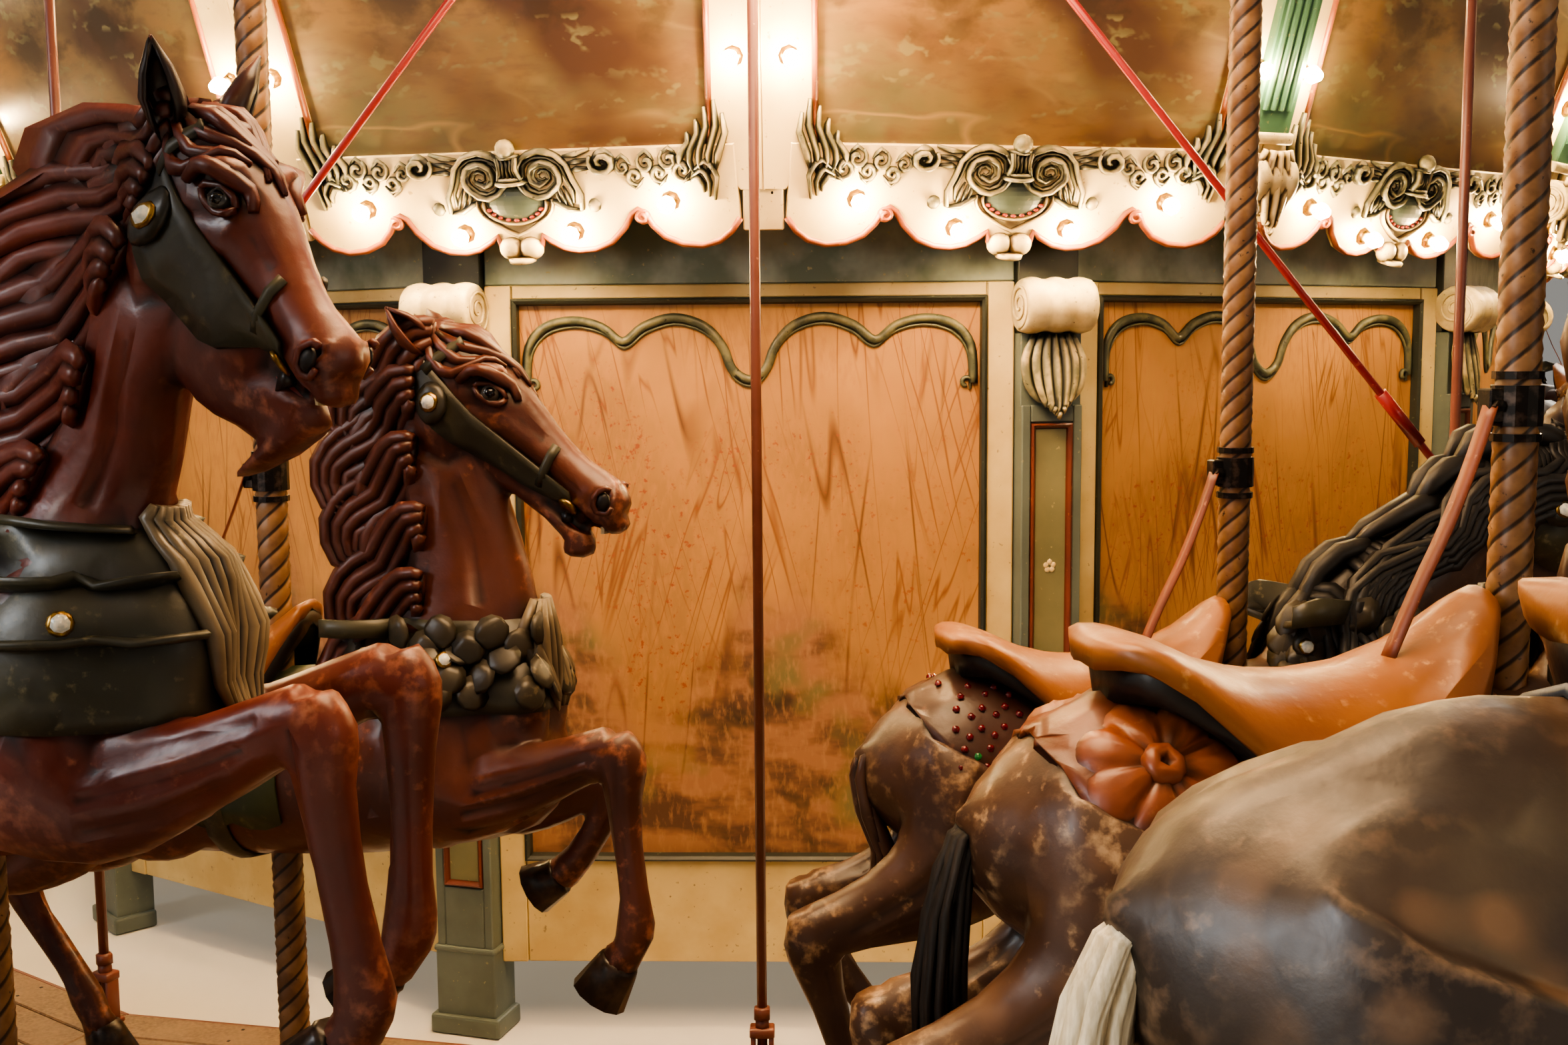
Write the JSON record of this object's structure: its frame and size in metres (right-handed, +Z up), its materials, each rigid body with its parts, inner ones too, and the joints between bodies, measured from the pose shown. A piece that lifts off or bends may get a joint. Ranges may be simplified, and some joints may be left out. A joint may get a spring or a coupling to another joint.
{
  "type": "fairground carousel",
  "caption": "Fairground carousel with rows of carved horses on spiral poles turning round a panelled centre housing, with an ornate cornice, sweeps and a board platform.",
  "frame": {"origin": "centre of the mast's foot on the ground, on the axis of rotation", "axes": "+Z up along the axis of rotation, the front seen in the picture is -Y, the horses there head along +X"},
  "size_m": [13.3776, 13.3776, 3.9],
  "materials": {
    "timber_frame": "worn dark paint",
    "painted_housing": "aged paint",
    "painted_cornice": "aged varnish",
    "platform_boards": "worn boards",
    "carved_horses": "glossy varnish"
  },
  "bodies": {
    "centre": {"centre_mast": "timber_frame", "housing_head_ring": "timber_frame", "housing_bay_01": "painted_housing", "housing_bay_02": "painted_housing", "housing_bay_03": "painted_housing", "housing_bay_04": "painted_housing", "housing_bay_05": "painted_housing", "housing_bay_06": "painted_housing", "housing_bay_07": "painted_housing", "housing_bay_08": "painted_housing", "housing_bay_09": "painted_housing", "housing_bay_10": "painted_housing", "housing_bay_11": "painted_housing", "housing_bay_12": "painted_housing"},
    "turntable": {"sweep_hub": "timber_frame", "sweep_frame_1": "timber_frame", "sweep_frame_2": "timber_frame", "sweep_frame_3": "timber_frame", "sweep_frame_4": "timber_frame", "rounding_boards_1": "painted_cornice", "rounding_boards_2": "painted_cornice", "rounding_boards_3": "painted_cornice", "rounding_boards_4": "painted_cornice", "platform_1": "platform_boards", "platform_2": "platform_boards", "platform_3": "platform_boards", "platform_4": "platform_boards", "inner_cornice_1": "painted_cornice", "inner_cornice_2": "painted_cornice", "horse_rank_01": "carved_horses", "horse_rank_02": "carved_horses", "horse_rank_03": "carved_horses", "horse_rank_04": "carved_horses", "horse_rank_05": "carved_horses", "horse_rank_06": "carved_horses", "horse_rank_07": "carved_horses", "horse_rank_08": "carved_horses", "horse_rank_09": "carved_horses", "horse_rank_10": "carved_horses", "horse_rank_11": "carved_horses", "horse_rank_12": "carved_horses", "horse_rank_13": "carved_horses", "horse_rank_14": "carved_horses", "horse_rank_15": "carved_horses", "horse_rank_16": "carved_horses"}
  },
  "joints": [
    {"name": "turntable_spin", "type": "hinge", "parent": "centre", "child": "turntable", "pos_m": [0, 0, 3.4], "axis": [0, 0, 1], "continuous": true}
  ]
}
